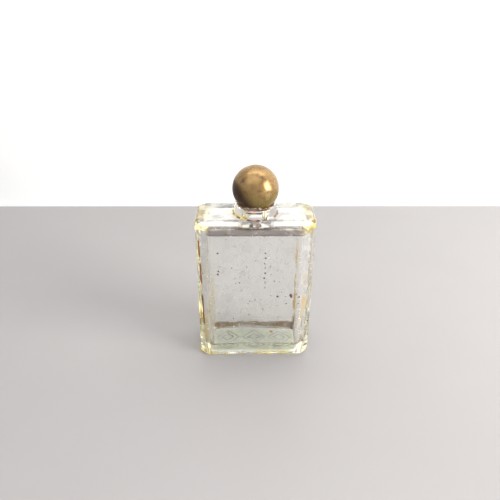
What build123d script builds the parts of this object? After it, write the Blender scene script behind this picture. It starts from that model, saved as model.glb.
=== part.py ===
from build123d import *

import os
from math import sqrt

# A small flat medicine bottle of clear glass with a hollow brass ball for a screw cap.
#
# The bottle is one moulded piece: a rectangular body with cut corners, a thick floor with a panel
# pressed into its underside, and a short neck with a collar and a screw finish. The cap is a spun
# brass ball whose lower edge is turned in under the flange of a threaded sleeve. A foil-faced cork
# disc lies loose in the closed end of the sleeve and seals on the lip of the neck.
#
# Millimetres. +Z is up, +X across the width, -Y the front. The origin is the centre of the base.

# ------------------------------------------------------------------ body of the bottle
body_width = 49.5
body_depth = 22.0
body_height = 66.5
corner_cut = 3.4  # each side of the 45 degree cut on an upright corner
corner_soften = 2.0  # radius along the two edges of a cut
shoulder_round = 1.7
foot_round = 0.7

# ------------------------------------------------------------------ glass walls and the hollow
side_wall = 3.4
face_wall = 2.6
roof_wall = 3.8
floor_wall = 2.8
floor_crown = 1.4  # how much higher the floor is at mid width than at the sides
cavity_corner = 4.0
cavity_edge = 3.0

# ------------------------------------------------------------------ panel under the base
panel_margin_side = 5.0
panel_margin_face = 4.2
panel_corner = 4.0
panel_depth = 0.6
ornament_height = 0.35
ornament_margin = 1.75  # from the last dots to the panel's end
lozenge_count = 3
lozenge_width = 9.0
lozenge_height = 8.0
lozenge_line = 0.7
dot_radius = 0.8
dot_spread = 4.0  # between the two dots of a pair

# ------------------------------------------------------------------ collar, neck and bore
collar_ledge = 3.2  # how far the collar stands out past the screw finish
collar_height = 4.35
collar_round = 1.1
collar_cove = 0.35
finish_radius = 5.7
neck_wall = 2.0
lip_round = 0.8
lip_inner_round = 0.4
bore_flare = 1.6

# ------------------------------------------------------------------ screw thread
thread_lead = 25.4 / 12
thread_depth = 0.75
thread_start = 3.3  # of the glass thread above the collar
thread_land = 0.7  # plain glass between the thread and the lip's rounding
thread_root = 1.2  # width of the glass thread at its foot
thread_crest = 0.6
thread_fade = 32.0  # degrees over which a thread runs out at each end
thread_bed = 0.2  # how far a thread is let into the wall it stands on
radial_play = 0.15
flank_play = 0.15

# ------------------------------------------------------------------ cap and seal
ball_cut = 5.33  # from the centre of the ball down to its lower edge
ball_sheet = 0.4
edge_round = 0.45
sleeve_sheet = 0.35
flange_width = 0.65
flange_height = 0.35
flange_play = 0.05
crown_gap = 0.25  # between the sleeve's top corner and the inside of the ball
opening_gap = 0.05  # how much wider the ball's opening is than the sleeve's bore
liner_play = 0.15
facing_thickness = 0.2
cork_thickness = 2.0
seat_gap = 0.05  # between the lip and the facing
rim_gap = 0.8  # between the collar and the lower edge of the ball

# ------------------------------------------------------------------ radii that follow
collar_radius = finish_radius + collar_ledge
bore_radius = finish_radius - neck_wall
sleeve_bore = finish_radius + thread_depth + radial_play
sleeve_radius = sleeve_bore + sleeve_sheet
flange_radius = sleeve_radius + flange_width
liner_radius = sleeve_bore - liner_play
opening_radius = sleeve_bore + opening_gap
ball_inside = sqrt((flange_radius + flange_play) ** 2 + (ball_cut - ball_sheet) ** 2)
ball_radius = ball_inside + ball_sheet

# ------------------------------------------------------------------ levels that follow
roof_level = body_height - roof_wall
collar_top = body_height + collar_height
rim_bottom = collar_top + rim_gap
rim_top = rim_bottom + ball_sheet
ball_centre = rim_bottom + ball_cut
sleeve_top = ball_centre + sqrt((ball_inside - crown_gap) ** 2 - sleeve_radius**2)
sleeve_ceiling = sleeve_top - sleeve_sheet
cork_top = sleeve_ceiling - liner_play
cork_bottom = cork_top - cork_thickness
facing_bottom = cork_bottom - facing_thickness
lip_top = facing_bottom - seat_gap

# ------------------------------------------------------------------ threads that follow
glass_thread_bottom = collar_top + thread_start
glass_thread_top = lip_top - lip_round - thread_land - thread_root / 2
sleeve_thread_bottom = glass_thread_bottom - thread_lead / 2
sleeve_thread_root = thread_lead - thread_crest - 2 * flank_play
sleeve_thread_crest = thread_lead - thread_root - 2 * flank_play
sleeve_thread_top = facing_bottom - sleeve_thread_root


def body_outline():
    """A rectangle with its four corners cut at 45 degrees and the cuts softened."""
    cut = chamfer(Rectangle(body_width, body_depth).vertices(), corner_cut)
    return fillet(cut.vertices(), corner_soften)


def body_block():
    """The outside of the body, still solid."""
    block = extrude(body_outline(), body_height)
    block = fillet(block.faces().sort_by(Axis.Z)[-1].edges(), shoulder_round)
    return fillet(block.faces().sort_by(Axis.Z)[0].edges(), foot_round)


def neck():
    """Collar, screw finish and lip, solid to the axis, standing in the body's roof."""
    cove_edge = collar_radius + collar_cove
    with BuildPart() as turned:
        with BuildSketch(Plane.XZ):
            with BuildLine():
                Polyline((0, roof_level), (cove_edge, roof_level), (cove_edge, body_height))
                RadiusArc((cove_edge, body_height), (collar_radius, body_height + collar_cove), collar_cove)
                Line((collar_radius, body_height + collar_cove), (collar_radius, collar_top - collar_round))
                RadiusArc(
                    (collar_radius, collar_top - collar_round),
                    (collar_radius - collar_round, collar_top),
                    -collar_round,
                )
                Line((collar_radius - collar_round, collar_top), (finish_radius, collar_top))
                Line((finish_radius, collar_top), (finish_radius, lip_top - lip_round))
                RadiusArc(
                    (finish_radius, lip_top - lip_round),
                    (finish_radius - lip_round, lip_top),
                    -lip_round,
                )
                Polyline((finish_radius - lip_round, lip_top), (0, lip_top), (0, roof_level))
            make_face()
        revolve(axis=Axis.Z)
    # A wide collar on a shallow body ends flush with the body's faces.
    return turned.part & extrude(body_outline(), lip_top)


def cavity():
    """The hollow of the body, its floor crowned across the width."""
    width = body_width - 2 * side_wall
    depth = body_depth - 2 * face_wall
    height = roof_level - floor_wall
    hollow = Pos(0, 0, floor_wall + height / 2) * Box(width, depth, height)
    hollow = fillet(hollow.edges().filter_by(Axis.Z), cavity_corner)
    hollow = fillet(hollow.faces().sort_by(Axis.Z)[-1].edges(), cavity_edge)
    hollow = fillet(hollow.faces().sort_by(Axis.Z)[0].edges(), cavity_edge)
    half_span = width / 2 - cavity_edge
    crown_radius = (half_span**2 + floor_crown**2) / (2 * floor_crown)
    crown = Rot(90, 0, 0) * Cylinder(crown_radius, body_depth)
    return hollow - Pos(0, 0, floor_wall + floor_crown - crown_radius) * crown


def bore():
    """The bore of the neck, flaring into the hollow below and rounded at the lip."""
    flare_edge = bore_radius + bore_flare
    lip_edge = bore_radius + lip_inner_round
    with BuildPart() as turned:
        with BuildSketch(Plane.XZ):
            with BuildLine():
                Polyline((0, roof_level - 1), (flare_edge, roof_level - 1), (flare_edge, roof_level))
                RadiusArc((flare_edge, roof_level), (bore_radius, roof_level + bore_flare), bore_flare)
                Line((bore_radius, roof_level + bore_flare), (bore_radius, lip_top - lip_inner_round))
                RadiusArc((bore_radius, lip_top - lip_inner_round), (lip_edge, lip_top), lip_inner_round)
                Polyline((lip_edge, lip_top), (lip_edge, lip_top + 1), (0, lip_top + 1), (0, roof_level - 1))
            make_face()
        revolve(axis=Axis.Z)
    return turned.part


def base_panel():
    """The pocket under the base, less the lozenges and dots that are left standing in it."""
    width = body_width - 2 * panel_margin_side
    depth = body_depth - 2 * panel_margin_face
    pitch = (width - 2 * ornament_margin) / lozenge_count
    half_width = lozenge_width / 2
    half_height = lozenge_height / 2
    outer = Polygon((half_width, 0), (0, half_height), (-half_width, 0), (0, -half_height))
    frame = outer - offset(outer, -lozenge_line)
    ornament = Sketch()
    for place in range(lozenge_count):
        ornament += Pos((place - (lozenge_count - 1) / 2) * pitch, 0) * frame
    for place in range(lozenge_count + 1):
        for y in (-dot_spread / 2, dot_spread / 2):
            ornament += Pos((place - lozenge_count / 2) * pitch, y) * Circle(dot_radius)
    pocket = extrude(RectangleRounded(width, depth, panel_corner), panel_depth)
    return pocket - Pos(0, 0, panel_depth - ornament_height) * extrude(ornament, ornament_height)


def run_out(radius, reach, angle, turn):
    """The wedge that a thread loses at one end, so that its height fades over thread_fade."""
    inside = radius - 2 * thread_bed * reach / abs(reach)
    beyond = radius + 3 * reach
    corners = [
        Vector(radius, 0).rotate(Axis.Z, angle),
        Vector(radius + reach, 0).rotate(Axis.Z, angle + turn * thread_fade),
        Vector(beyond, 0).rotate(Axis.Z, angle + turn * thread_fade),
        Vector(beyond, 0).rotate(Axis.Z, angle - turn * thread_fade / 2),
        Vector(inside, 0).rotate(Axis.Z, angle - turn * thread_fade / 2),
        Vector(inside, 0).rotate(Axis.Z, angle),
    ]
    wedge = extrude(make_face(Polyline(*corners, close=True)), thread_lead)
    return Pos(0, 0, -thread_lead / 2) * wedge


def thread(radius, reach, root, crest, bottom, top):
    """A right-handed ridge on a wall of that radius. A negative reach makes it stand inwards."""
    helix = Helix(pitch=thread_lead, height=top - bottom, radius=radius)
    bed = -thread_bed * reach / abs(reach)
    outline = Polyline(
        (bed, -root / 2),
        (0, -root / 2),
        (reach, -crest / 2),
        (reach, crest / 2),
        (0, root / 2),
        (bed, root / 2),
        close=True,
    )
    start = Plane(origin=helix @ 0, x_dir=(1, 0, 0), z_dir=helix % 0)
    ridge = sweep(start * make_face(outline), path=helix, is_frenet=True)
    last_angle = 360 * (top - bottom) / thread_lead
    ridge -= run_out(radius, reach, 0, 1)
    ridge -= Pos(0, 0, top - bottom) * run_out(radius, reach, last_angle, -1)
    return Pos(0, 0, bottom) * ridge


def glass_bottle():
    """The moulded bottle, one piece of glass."""
    bottle = body_block() + neck()
    bottle += thread(
        finish_radius, thread_depth, thread_root, thread_crest, glass_thread_bottom, glass_thread_top
    )
    bottle -= cavity()
    bottle -= bore()
    return bottle - base_panel()


def brass_ball_shell():
    """Spun brass ball, its lower edge turned in to grip the sleeve's flange."""
    ball = Pos(0, 0, ball_centre) * (Sphere(ball_radius) - Sphere(ball_inside))
    cut_away = Box(3 * ball_radius, 3 * ball_radius, 2 * ball_radius)
    ball -= Pos(0, 0, rim_bottom - ball_radius) * cut_away
    rim_radius = sqrt(ball_radius**2 - ball_cut**2)
    rim = extrude(Circle(rim_radius) - Circle(opening_radius), ball_sheet)
    shell = ball + Pos(0, 0, rim_bottom) * rim
    lower_edge = shell.edges().group_by(Axis.Z)[0].sort_by(SortBy.RADIUS)[-1]
    return fillet(lower_edge, edge_round)


def thread_sleeve():
    """Drawn brass sleeve, closed at the top, with a rolled thread and a flange at the foot."""
    sleeve = extrude(Circle(sleeve_radius), sleeve_top - rim_top)
    sleeve += extrude(Circle(flange_radius), flange_height)
    sleeve -= extrude(Circle(sleeve_bore), sleeve_ceiling - rim_top)
    return Pos(0, 0, rim_top) * sleeve + thread(
        sleeve_bore,
        -thread_depth,
        sleeve_thread_root,
        sleeve_thread_crest,
        sleeve_thread_bottom,
        sleeve_thread_top,
    )


def cork_liner():
    """The cork disc in the closed end of the sleeve."""
    return Pos(0, 0, cork_bottom) * extrude(Circle(liner_radius), cork_thickness)


def foil_facing():
    """The foil on the cork, which meets the lip."""
    return Pos(0, 0, facing_bottom) * extrude(Circle(liner_radius), facing_thickness)


pieces = {
    "glass_bottle": glass_bottle(),
    "brass_ball_shell": brass_ball_shell(),
    "thread_sleeve": thread_sleeve(),
    "cork_liner": cork_liner(),
    "foil_facing": foil_facing(),
}
os.makedirs("parts", exist_ok=True)
for name, piece in pieces.items():
    export_step(piece, f"parts/{name}.step")
print(f"ball radius {ball_radius:.2f}, centre {ball_centre:.2f}, lip {lip_top:.2f}, bore {bore_radius:.2f}")
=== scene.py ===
# %% [markdown]
# # A flat glass medicine bottle with a brass ball cap
# This lesson dresses a finished engineering model. The model arrives as a fixed frame: one bottle of
# moulded glass, a threaded sleeve inside a hollow brass ball, and a cork disc faced with foil. The
# frame says where everything is and how it moves, so each new mesh takes its place from it.

# %% Load the frame
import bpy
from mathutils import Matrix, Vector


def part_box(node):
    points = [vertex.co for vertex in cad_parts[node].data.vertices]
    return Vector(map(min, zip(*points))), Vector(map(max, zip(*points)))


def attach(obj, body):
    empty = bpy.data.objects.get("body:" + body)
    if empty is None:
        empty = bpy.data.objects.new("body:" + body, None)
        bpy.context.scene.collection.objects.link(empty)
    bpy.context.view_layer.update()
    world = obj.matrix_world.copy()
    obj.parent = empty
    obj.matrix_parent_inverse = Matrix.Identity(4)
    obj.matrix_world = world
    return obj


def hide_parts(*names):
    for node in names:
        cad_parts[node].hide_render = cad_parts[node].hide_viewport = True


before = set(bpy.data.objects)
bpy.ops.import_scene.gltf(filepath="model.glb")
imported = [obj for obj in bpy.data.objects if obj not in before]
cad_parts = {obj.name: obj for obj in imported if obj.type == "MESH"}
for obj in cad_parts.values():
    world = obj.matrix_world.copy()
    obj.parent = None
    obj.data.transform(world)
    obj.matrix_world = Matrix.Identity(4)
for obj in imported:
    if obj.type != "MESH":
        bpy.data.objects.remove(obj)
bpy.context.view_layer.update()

# %% Libraries and the unit
import math

import bmesh
import bpy
from mathutils import Matrix, Vector, noise

MM = 0.001
TINY = 1e-6

# %% [markdown]
# ## Places that the frame gives
# The glass reaches from the table to the lip of the neck. The ball hangs just above the collar, and
# its width gives its centre. Wall thicknesses can't be read from a box, so they are named here and
# match the design.

# %% Sizes of the glass
glass_low, glass_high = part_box("glass_bottle")
ball_low, ball_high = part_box("brass_ball_shell")
cork_low, cork_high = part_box("cork_liner")
facing_low, facing_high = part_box("foil_facing")

body_width = glass_high.x - glass_low.x
body_depth = glass_high.y - glass_low.y
lip_top = glass_high.z
shoulder = 66.5 * MM
corner_cut = 3.4 * MM
corner_soften = 2.0 * MM
shoulder_round = 1.7 * MM
foot_round = 0.7 * MM

side_wall = 3.4 * MM
face_wall = 2.6 * MM
roof_wall = 3.8 * MM
floor_level = 2.8 * MM
floor_crown = 1.4 * MM
cavity_corner = 4.0 * MM
cavity_edge = 3.0 * MM
cavity_width = body_width - 2 * side_wall
cavity_depth = body_depth - 2 * face_wall
roof_level = shoulder - roof_wall
print("cavity", round(cavity_width / MM, 1), "by", round(cavity_depth / MM, 1), "mm")

# %% [markdown]
# ## Working by hand, in code
# Every shape below is made with the operators that a person would click: add, select, bevel,
# extrude, bridge. Selecting is the only part that code does differently, so one helper opens a piece
# for editing and another selects its parts by a test on their place.

# %% Editing helpers
def edit(piece):
    """Opens a piece in edit mode with nothing selected."""
    if bpy.context.mode != "OBJECT":
        bpy.ops.object.mode_set(mode="OBJECT")
    bpy.ops.object.select_all(action="DESELECT")
    piece.select_set(True)
    bpy.context.view_layer.objects.active = piece
    bpy.ops.object.mode_set(mode="EDIT")
    bpy.ops.mesh.select_all(action="DESELECT")


def done():
    """Back to object mode. Returns the piece."""
    bpy.ops.object.mode_set(mode="OBJECT")
    return bpy.context.object


def pick(kind, test):
    """Selects the verts, edges or faces that pass a test, and nothing else."""
    bpy.ops.mesh.select_mode(type={"verts": "VERT", "edges": "EDGE", "faces": "FACE"}[kind])
    bpy.ops.mesh.select_all(action="DESELECT")
    mesh = bpy.context.edit_object.data
    cage = bmesh.from_edit_mesh(mesh)
    chosen = [part for part in getattr(cage, kind) if test(part)]
    for part in chosen:
        part.select_set(True)
    cage.select_flush_mode()
    bmesh.update_edit_mesh(mesh)
    return len(chosen)


def level_edge(height):
    """A test for edges that lie at one height."""
    return lambda edge: all(abs(end.co.z - height) < TINY for end in edge.verts)


def level_face(height):
    """A test for faces that lie at one height."""
    return lambda face: all(abs(corner.co.z - height) < TINY for corner in face.verts)


def join(main, *others):
    """Joins meshes into the first one."""
    bpy.ops.object.select_all(action="DESELECT")
    for piece in (main, *others):
        piece.select_set(True)
    bpy.context.view_layer.objects.active = main
    bpy.ops.object.join()
    return main


def apply_modifier(piece, kind, **settings):
    """Adds a modifier, sets it and applies it."""
    bpy.ops.object.select_all(action="DESELECT")
    piece.select_set(True)
    bpy.context.view_layer.objects.active = piece
    modifier = piece.modifiers.new(kind.lower(), kind)
    for name, value in settings.items():
        setattr(modifier, name, value)
    bpy.ops.object.modifier_apply(modifier=modifier.name)


def report(piece):
    """Prints how large a mesh has become."""
    print(piece.name, len(piece.data.vertices), "vertices", len(piece.data.polygons), "faces")

# %% [markdown]
# ## The outside of the body
# A pressed mould gives this body flat faces, cut corners and a rounded shoulder. A cube with bevels
# would do for wood, but glass shows every uneven facet as a kink in what is seen through it. So the
# outline is divided evenly first, and the walls are then raised from it as a net of small quads. All
# loops get the same number of points, which lets round and square parts be bridged later.

# %% Outline counts
LONG_CUTS = 28
SHORT_CUTS = 10
CORNER_CUTS = 8
AROUND = 2 * LONG_CUTS + 2 * SHORT_CUTS + 4 * CORNER_CUTS


# %% Helpers for outlines and walls
def plate(name, width, depth, height):
    """A flat rectangle at a height."""
    bpy.ops.object.select_all(action="DESELECT")
    bpy.ops.mesh.primitive_plane_add(size=1, location=(0, 0, height))
    piece = bpy.context.object
    piece.name = name
    piece.scale = (width, depth, 1)
    bpy.ops.object.transform_apply(location=True, rotation=False, scale=True)
    return piece


def round_corners(radius, segments):
    """Bevels every corner of the outline that is being edited."""
    pick("verts", lambda vert: True)
    bpy.ops.mesh.bevel(offset_type="OFFSET", offset=radius, segments=segments, affect="VERTICES")


def divide(test, parts):
    """Divides the chosen edges of the outline."""
    pick("edges", test)
    bpy.ops.mesh.subdivide(number_cuts=parts - 1)


def runs_along(axis):
    """A test for the long straight edges along X (0) or Y (1)."""
    across = 1 - axis
    return lambda edge: (
        abs(edge.verts[0].co[across] - edge.verts[1].co[across]) < TINY and edge.calc_length() > 5 * MM
    )


def open_outline():
    """Takes the face out of the outline, so that its edges can be divided one by one."""
    pick("faces", lambda face: True)
    bpy.ops.mesh.delete(type="ONLY_FACE")


def close_outline():
    """Divides the four straight sides and puts the face back."""
    divide(runs_along(0), LONG_CUTS)
    divide(runs_along(1), SHORT_CUTS)
    bpy.ops.mesh.select_all(action="SELECT")
    bpy.ops.mesh.edge_face_add()


def raise_walls(bottom, top, low_round, low_steps, high_round, high_steps, rows):
    """Extrudes the outline, rounds its lower and upper rim and divides the walls into rows."""
    pick("faces", lambda face: True)
    bpy.ops.mesh.extrude_region_move(TRANSFORM_OT_translate={"value": (0, 0, top - bottom)})
    bpy.ops.mesh.select_all(action="SELECT")
    bpy.ops.mesh.normals_make_consistent(inside=False)
    for height, rounding, steps in ((top, high_round, high_steps), (bottom, low_round, low_steps)):
        pick("edges", level_edge(height))
        bpy.ops.mesh.bevel(offset_type="OFFSET", offset=rounding, segments=steps, affect="EDGES")
    pick("edges", lambda edge: abs(edge.verts[0].co.z - edge.verts[1].co.z) > 20 * MM)
    bpy.ops.mesh.subdivide(number_cuts=rows)


# %% Raise the body
HOLD = 0.15 * MM
bottle = plate("glass_body", body_width, body_depth, 0)
edit(bottle)
round_corners(corner_cut, 1)
round_corners(corner_soften * math.tan(math.pi / 8), 3)
open_outline()
divide(lambda edge: 2 * MM < edge.calc_length() < 5 * MM, 2)
close_outline()
raise_walls(0, shoulder, foot_round, 4, shoulder_round, 6, 38)
pick("faces", lambda face: len(face.verts) > 4 and face.calc_center_median().z > shoulder / 2)
bpy.ops.mesh.delete(type="ONLY_FACE")
pick("faces", lambda face: len(face.verts) > 4)
bpy.ops.mesh.inset(thickness=HOLD)
done()
report(bottle)

# %% [markdown]
# ## The hollow
# The inside is its own rounded box: the blowing bubble never follows the mould into its corners, so
# the hollow's corners are much rounder than the outside.

# %% Raise the hollow
hollow = plate("glass_hollow", cavity_width, cavity_depth, floor_level)
edit(hollow)
round_corners(cavity_corner, CORNER_CUTS)
open_outline()
close_outline()
raise_walls(floor_level, roof_level, cavity_edge, 8, cavity_edge, 8, 34)
pick("faces", lambda face: len(face.verts) > 4)
bpy.ops.mesh.delete(type="ONLY_FACE")
done()
report(hollow)

# %% [markdown]
# ## The neck
# Collar, screw finish, lip and bore are all round, so they are one profile turned about the axis. The
# profile is drawn with sharp corners, each corner is rounded by a vertex bevel, and Spin turns it in
# as many steps as the body's outline has points.

# %% Neck sizes
finish_radius = 5.7 * MM
collar_radius = finish_radius + 3.2 * MM
collar_top = shoulder + 4.35 * MM
bore_radius = finish_radius - 2.0 * MM
collar_cove = 0.35 * MM
bore_flare = 1.6 * MM
cove_ring = collar_radius + collar_cove + 0.03 * MM
flare_ring = bore_radius + bore_flare + 0.03 * MM


# %% Turn the neck
def turned(name, corners, steps):
    """Spins corners of (radius, height, rounding, segments) about the Z axis."""
    mesh = bpy.data.meshes.new(name)
    points = [(radius, 0, height) for radius, height, _, _ in corners]
    mesh.from_pydata(points, [(i, i + 1) for i in range(len(points) - 1)], [])
    piece = bpy.data.objects.new(name, mesh)
    bpy.context.collection.objects.link(piece)
    edit(piece)
    for radius, height, rounding, segments in corners:
        if rounding:
            corner = Vector((radius, 0, height))
            pick("verts", lambda vert: (vert.co - corner).length < TINY)
            bpy.ops.mesh.bevel(offset=rounding, segments=segments, affect="VERTICES")
    bpy.ops.mesh.select_all(action="SELECT")
    bpy.ops.mesh.spin(steps=steps, angle=2 * math.pi, center=(0, 0, 0), axis=(0, 0, 1))
    bpy.ops.mesh.select_all(action="SELECT")
    bpy.ops.mesh.remove_doubles(threshold=TINY)
    return done()


neck = turned(
    "glass_neck",
    [
        (cove_ring, shoulder, 0, 0),
        (collar_radius, shoulder, collar_cove, 3),
        (collar_radius, collar_top, 1.1 * MM, 8),
        (finish_radius, collar_top, 0.3 * MM, 3),
        (finish_radius, lip_top, 0.8 * MM, 6),
        (bore_radius, lip_top, 0.4 * MM, 4),
        (bore_radius, roof_level, bore_flare, 8),
        (flare_ring, roof_level, 0, 0),
    ],
    AROUND,
)
report(neck)

# %% [markdown]
# ## One skin of glass
# Body, neck and hollow become a single closed skin: the rays that cross it then know when they are in
# glass and when in air. Bridging two loops that lie one inside the other at the same height confuses
# the operator, so the neck is lifted first, both pairs of loops are bridged, and it is lowered again.

# %% Bridge body, neck and hollow
def leaves_ring(edge, ring):
    """True if the edge runs outwards from a ring of that radius about the axis."""
    near, far = sorted(end.co.xy.length for end in edge.verts)
    return abs(near - ring) < TINY and far > ring + TINY


def open_edge_at(*heights):
    """A test for open edges that lie at one of the heights."""
    return lambda edge: edge.is_boundary and any(level_edge(height)(edge) for height in heights)


def belongs_to_neck(vert):
    """True on the lifted neck: all above the shoulder, and what is near the axis above the roof."""
    near_axis = vert.co.xy.length < bore_radius * 2
    return vert.co.z > shoulder + TINY or (vert.co.z > roof_level + TINY and near_axis)


APART = 20 * MM
RING_CUTS = 6
edit(neck)
bpy.ops.mesh.select_all(action="SELECT")
bpy.ops.transform.translate(value=(0, 0, APART))
done()
bottle = join(bottle, hollow, neck)
edit(bottle)
for height in (shoulder, roof_level):
    pick("edges", open_edge_at(height, height + APART))
    bpy.ops.mesh.bridge_edge_loops()
pick("verts", belongs_to_neck)
bpy.ops.transform.translate(value=(0, 0, -APART))
for height, ring in ((shoulder, cove_ring), (roof_level, flare_ring)):
    pick("edges", lambda edge: level_edge(height)(edge) and leaves_ring(edge, ring))
    bpy.ops.mesh.subdivide(number_cuts=RING_CUTS)
done()
report(bottle)

# %% [markdown]
# The floor of the hollow is closed with a grid and then pushed up in the middle, as the mould's base
# does to the soft glass: thin at mid width would crack, so the real floor is thickest there.

# %% Close and crown the floor
edit(bottle)
pick("edges", lambda edge: edge.is_boundary and level_edge(floor_level)(edge))
bpy.ops.mesh.fill_grid(span=SHORT_CUTS + CORNER_CUTS)
bpy.ops.mesh.select_all(action="SELECT")
bpy.ops.mesh.normals_make_consistent(inside=False)
done()
half_floor = cavity_width / 2 - cavity_edge
for vert in bottle.data.vertices:
    above = (vert.co.z - floor_level) / cavity_edge
    if -TINY < above < 1 and vert.co.z > foot_round + TINY and abs(vert.co.y) < cavity_depth / 2 + TINY:
        if abs(vert.co.x) < cavity_width / 2 + TINY:
            vert.co.z += floor_crown * max(0, 1 - (vert.co.x / half_floor) ** 2) * (1 - above)
volume_check = bmesh.new()
volume_check.from_mesh(bottle.data)
print("glass volume", round(volume_check.calc_volume() / MM**3), "cubic mm")
print("open edges", len([edge for edge in volume_check.edges if not edge.is_manifold]))
volume_check.free()

# %% [markdown]
# ## The screw thread
# The thread is a small trapezium carried round the finish by a Screw modifier. In the mould it runs
# out at both ends, so the ends are sunk back into the neck before the ridge is united with the glass.

# %% Thread sizes
thread_lead = 25.4 / 12 * MM
thread_bottom = collar_top + 3.3 * MM
thread_top = lip_top - 2.1 * MM
thread_height = 0.75 * MM
thread_turns = (thread_top - thread_bottom) / thread_lead
THREAD_FADE = math.radians(40)
THREAD_STEPS = 120

# %% Wind the thread
mesh = bpy.data.meshes.new("glass_thread")
lower_flank = [(-0.2, -0.6), (0, -0.6), (0.6, -0.36), (0.75, -0.15)]
upper_flank = [(out, -up) for out, up in reversed(lower_flank)]
trapezium = lower_flank + upper_flank
corners = [(finish_radius + out * MM, 0, thread_bottom + up * MM) for out, up in trapezium]
mesh.from_pydata(corners, [(i, (i + 1) % len(corners)) for i in range(len(corners))], [])
ridge = bpy.data.objects.new("glass_thread", mesh)
bpy.context.collection.objects.link(ridge)
apply_modifier(
    ridge,
    "SCREW",
    angle=thread_turns * 2 * math.pi,
    screw_offset=thread_turns * thread_lead,
    steps=THREAD_STEPS,
    render_steps=THREAD_STEPS,
    use_merge_vertices=False,
)
edit(ridge)
pick("edges", lambda edge: edge.is_boundary)
bpy.ops.mesh.edge_face_add()
bpy.ops.mesh.select_all(action="SELECT")
bpy.ops.mesh.normals_make_consistent(inside=False)
done()
for vert in ridge.data.vertices:
    around = math.atan2(vert.co.y, vert.co.x) / (2 * math.pi)
    turn = round((vert.co.z - thread_bottom) / thread_lead - around) + around
    room = min(turn, thread_turns - turn) * 2 * math.pi
    sunk = thread_height * (1 - min(1, max(0, room) / THREAD_FADE)) ** 2
    radius = vert.co.xy.length
    vert.co.xy *= (radius - sunk) / radius
report(ridge)
print("turns of thread", round(thread_turns, 2))

# %% [markdown]
# ## The underside
# A shallow panel is pressed into the base, so that the bottle stands on a rim, and a row of plain
# lozenges and dots stands up from the panel. Both are made as their own shapes and combined with the
# glass: the panel is cut away first, and the raised work is added back.

# %% Panel sizes
panel_width = body_width - 2 * 5.0 * MM
panel_depth = body_depth - 2 * 4.2 * MM
panel_height = 0.6 * MM
raised_to = 0.25 * MM
ornament_depth = panel_height - raised_to + 0.1 * MM
lozenge_pitch = 12.0 * MM
lozenge_size = (9.0 * MM, 8.0 * MM)
lozenge_line = 0.7 * MM
dot_radius = 0.8 * MM
dot_spread = 4.0 * MM


# %% Make the panel cutter and the raised work
panel = plate("base_panel", panel_width, panel_depth, -1 * MM)
edit(panel)
round_corners(4.0 * MM, 10)
bpy.ops.mesh.select_all(action="SELECT")
bpy.ops.mesh.extrude_region_move(TRANSFORM_OT_translate={"value": (0, 0, panel_height + 1 * MM)})
pick("edges", level_edge(panel_height))
bpy.ops.mesh.bevel(offset=0.3 * MM, segments=4, affect="EDGES")
bpy.ops.mesh.select_all(action="SELECT")
bpy.ops.mesh.normals_make_consistent(inside=False)
done()


def lower_rim(edge):
    """True for an edge of the lowest faces that also borders a wall."""
    borders_wall = any(not level_face(raised_to)(face) for face in edge.link_faces)
    return level_edge(raised_to)(edge) and borders_wall


def lozenge(x):
    """A raised lozenge outline under the panel, its lower edges softened."""
    bpy.ops.object.select_all(action="DESELECT")
    bpy.ops.mesh.primitive_circle_add(
        vertices=4, radius=0.5, fill_type="NGON", location=(x, 0, raised_to)
    )
    piece = bpy.context.object
    piece.scale = (*lozenge_size, 1)
    bpy.ops.object.transform_apply(location=True, rotation=True, scale=True)
    edit(piece)
    pick("faces", lambda face: True)
    bpy.ops.mesh.inset(thickness=lozenge_line)
    bpy.ops.mesh.delete(type="FACE")
    bpy.ops.mesh.select_all(action="SELECT")
    bpy.ops.mesh.extrude_region_move(TRANSFORM_OT_translate={"value": (0, 0, ornament_depth)})
    pick("edges", lower_rim)
    bpy.ops.mesh.bevel(offset=0.22 * MM, segments=3, affect="EDGES")
    return done()


def dot(x, y):
    """A raised round dot under the panel."""
    bpy.ops.object.select_all(action="DESELECT")
    middle = raised_to + ornament_depth / 2
    bpy.ops.mesh.primitive_cylinder_add(
        vertices=32, radius=dot_radius, depth=ornament_depth, location=(x, y, middle)
    )
    piece = bpy.context.object
    bpy.ops.object.transform_apply(location=True, rotation=True, scale=True)
    edit(piece)
    pick("edges", lambda edge: level_edge(raised_to)(edge))
    bpy.ops.mesh.bevel(offset=0.3 * MM, segments=3, affect="EDGES")
    return done()


raised = [lozenge(place * lozenge_pitch) for place in (-1, 0, 1)]
for place in (-1.5, -0.5, 0.5, 1.5):
    raised += [dot(place * lozenge_pitch, side * dot_spread / 2) for side in (-1, 1)]
ornament = join(*raised)
edit(ornament)
bpy.ops.mesh.select_all(action="SELECT")
bpy.ops.mesh.normals_make_consistent(inside=False)
done()
report(ornament)

# %% Combine them with the glass
for tool, how in ((ridge, "UNION"), (panel, "DIFFERENCE"), (ornament, "UNION")):
    apply_modifier(bottle, "BOOLEAN", object=tool, operation=how, solver="EXACT")
    bpy.data.objects.remove(tool)
report(bottle)

# %% [markdown]
# ## Uneven walls
# Pressed and blown glass is never even. The outer walls, chilled by the mould, are nearly flat, while
# the inner wall flows freely and waves slowly up and down. Two Displace modifiers, each held to its
# own wall by a vertex group, push the skin a few hundredths of a millimetre into the glass.

# %% Wave the walls
def lies_inside(place):
    """True on the wall of the hollow."""
    return (
        abs(place.x) < cavity_width / 2 + TINY
        and abs(place.y) < cavity_depth / 2 + TINY
        and 1.2 * MM < place.z < roof_level + TINY
    )


def lies_outside(place):
    """True on the walls of the body, away from the foot and the neck."""
    half_way = abs(place.x) > cavity_width / 2 + 1 * MM or abs(place.y) > cavity_depth / 2 + 1 * MM
    return foot_round * 1.5 < place.z < shoulder - shoulder_round and half_way and not lies_inside(place)


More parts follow.
